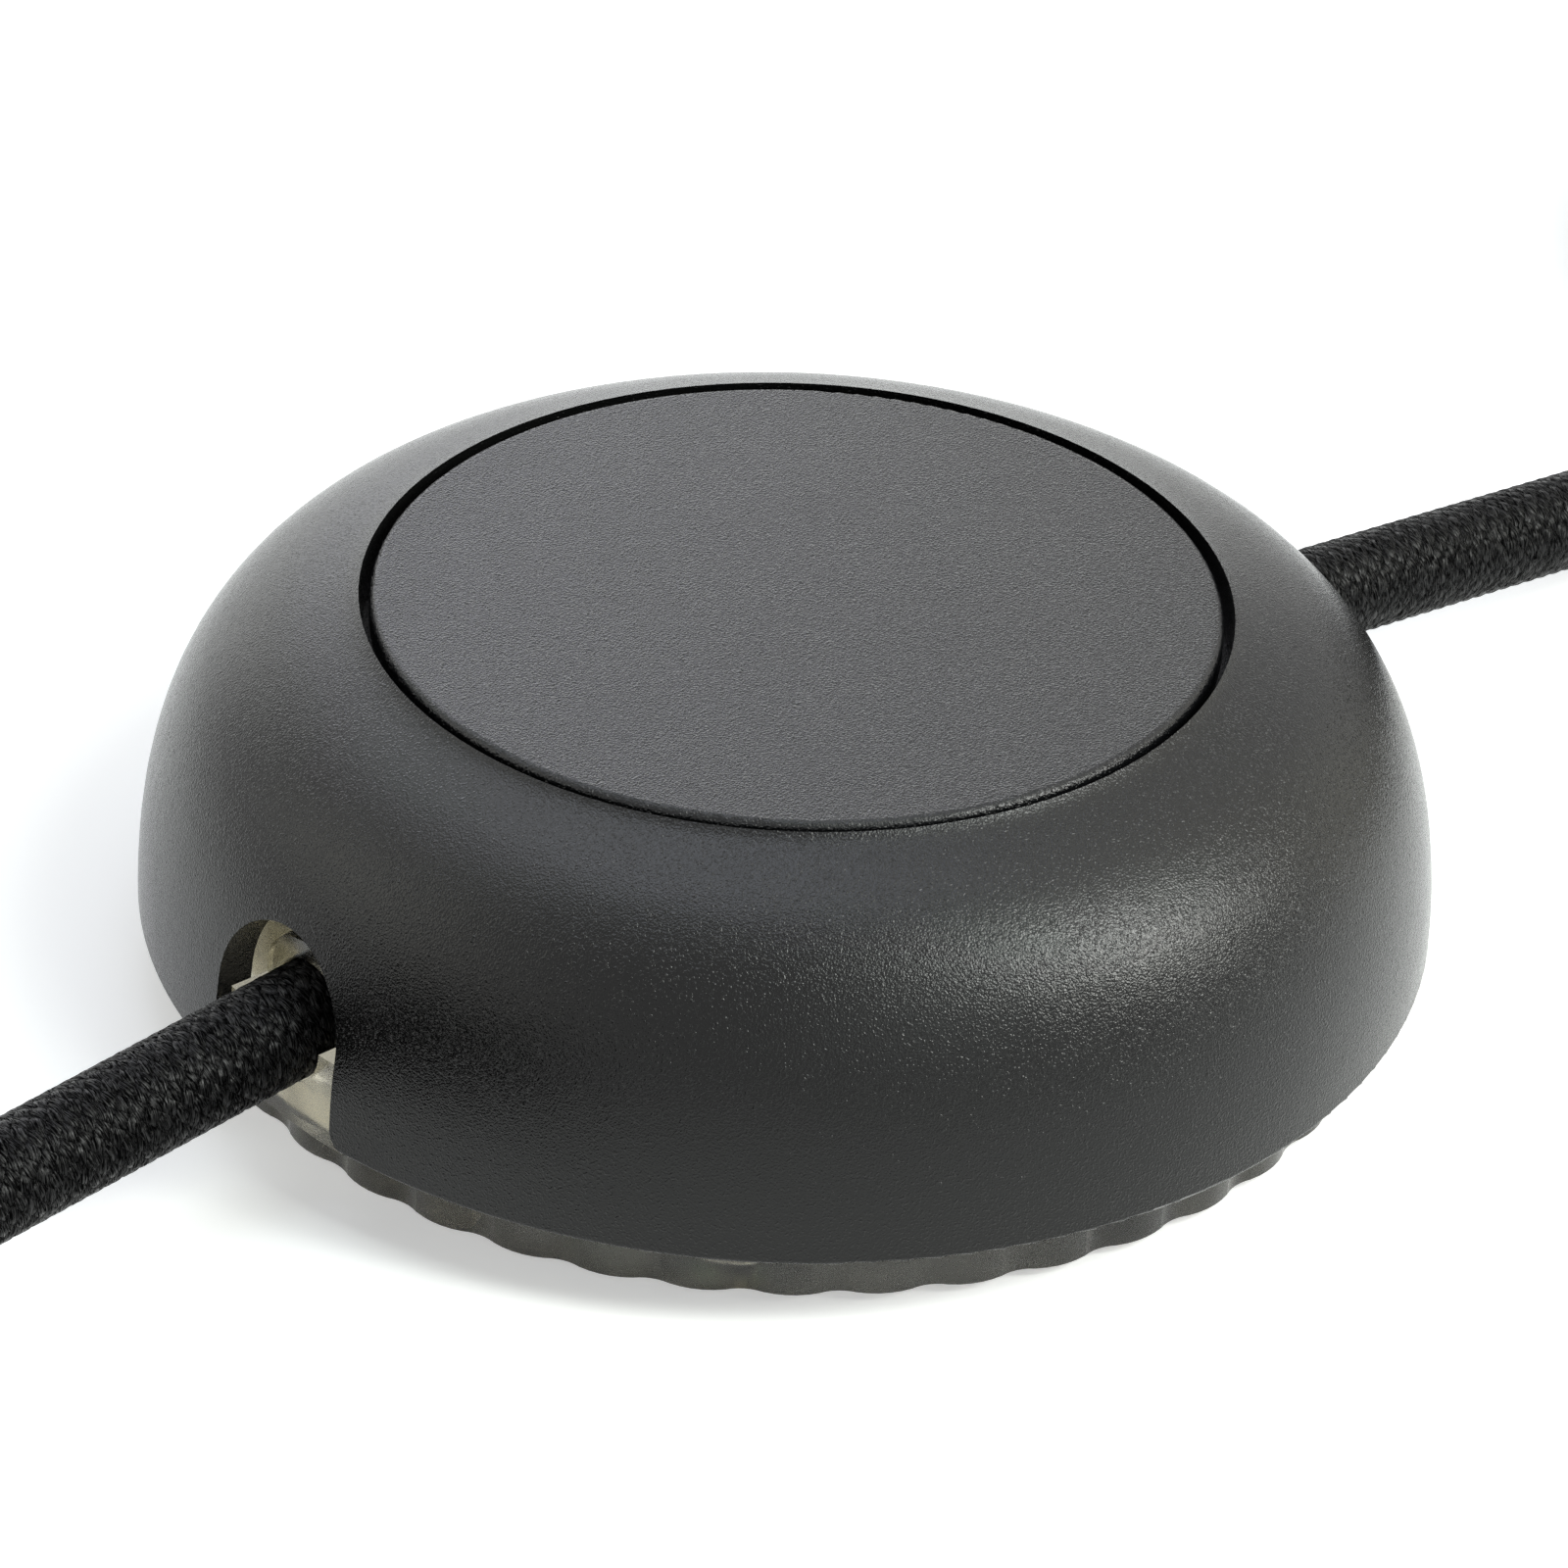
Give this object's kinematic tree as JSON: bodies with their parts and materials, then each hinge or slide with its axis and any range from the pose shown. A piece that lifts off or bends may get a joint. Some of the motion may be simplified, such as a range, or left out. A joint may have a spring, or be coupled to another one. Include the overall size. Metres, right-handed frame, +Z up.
{
  "type": "inline cord dimmer",
  "caption": "Round inline foot dimmer for a lamp cord, with a domed housing, a press pad, a fluted clear base, textile cords, a flat plug and a bare end.",
  "frame": {"origin": "on the surface the feet stand on, under the middle of the round body", "axes": "+Z up through the press pad; the cords leave along X, the mains cord at -X and the lamp cord at +X"},
  "size_m": [0.4008, 0.0912, 0.0354],
  "materials": {
    "housing_plastic": "satin, fine spark-eroded grain",
    "pad_plastic": "satin, fine spark-eroded grain",
    "clear_plastic": "translucent, smoky olive",
    "foot_rubber": "matt",
    "screw_steel": "zinc plated",
    "cover_plastic": "matt",
    "spring_steel": "bright",
    "board_green": "satin",
    "terminal_plastic": "satin",
    "cooling_aluminium": "satin",
    "component_black": "satin",
    "core_grey": "matt",
    "winding_copper": "enamelled",
    "film_blue": "gloss",
    "can_sleeve": "gloss",
    "fuse_glass": "gloss",
    "resistor_body": "matt",
    "lamp_lens": "gloss",
    "switch_plastic": "satin",
    "clamp_plastic": "matt",
    "live_insulation": "satin",
    "neutral_insulation": "satin",
    "cord_textile": "braided",
    "plug_plastic": "satin",
    "pin_metal": "nickel plated",
    "sleeve_plastic": "matt",
    "ferrule_tin": "tin plated"
  },
  "bodies": {
    "body": {"housing": "housing_plastic", "clear_base": "clear_plastic", "foot_1": "foot_rubber", "foot_2": "foot_rubber", "foot_3": "foot_rubber", "foot_4": "foot_rubber", "housing_screws": "screw_steel", "inner_cover": "cover_plastic", "return_spring": "spring_steel", "circuit_board": "board_green", "board_screws": "screw_steel", "lamp_terminal": "terminal_plastic", "mains_terminal": "terminal_plastic", "terminal_screws": "screw_steel", "cooling_plate": "cooling_aluminium", "triac": "component_black", "triac_screw": "screw_steel", "choke_core": "core_grey", "choke_winding": "winding_copper", "film_capacitor": "film_blue", "can_capacitor": "can_sleeve", "fuse": "fuse_glass", "control_chip": "component_black", "resistors": "resistor_body", "finder_lamp": "lamp_lens", "switch_body": "switch_plastic", "lamp_cord_clamp": "clamp_plastic", "mains_cord_clamp": "clamp_plastic", "clamp_screws": "screw_steel", "lamp_live_wire": "live_insulation", "lamp_neutral_wire": "neutral_insulation", "mains_live_wire": "live_insulation", "mains_neutral_wire": "neutral_insulation", "lamp_cord": "cord_textile", "lamp_coil": "cord_textile", "lamp_cord_end": "cord_textile", "mains_cord": "cord_textile", "mains_coil": "cord_textile", "mains_cord_end": "cord_textile", "plug_relief": "plug_plastic", "plug_body": "plug_plastic", "plug_pins": "pin_metal", "pin_sleeves": "sleeve_plastic", "end_sleeve": "sleeve_plastic", "end_live_wire": "live_insulation", "end_neutral_wire": "neutral_insulation", "ferrules": "ferrule_tin"},
    "pad": {"press_pad": "pad_plastic"},
    "plunger": {"switch_plunger": "clamp_plastic"}
  },
  "joints": [
    {"name": "pad_press", "type": "slide", "parent": "body", "child": "pad", "axis": [0, 0, -1], "range_m": [0, 0.0018], "stiffness_N_per_m": 900, "springref_m": -0.0015, "deforming": ["return_spring"]},
    {"name": "plunger_press", "type": "slide", "parent": "body", "child": "plunger", "axis": [0, 0, -1], "range_m": [0, 0.0018]}
  ],
  "couplings": [
    {"joint": "plunger_press", "follows": "pad_press", "ratio": 1}
  ]
}
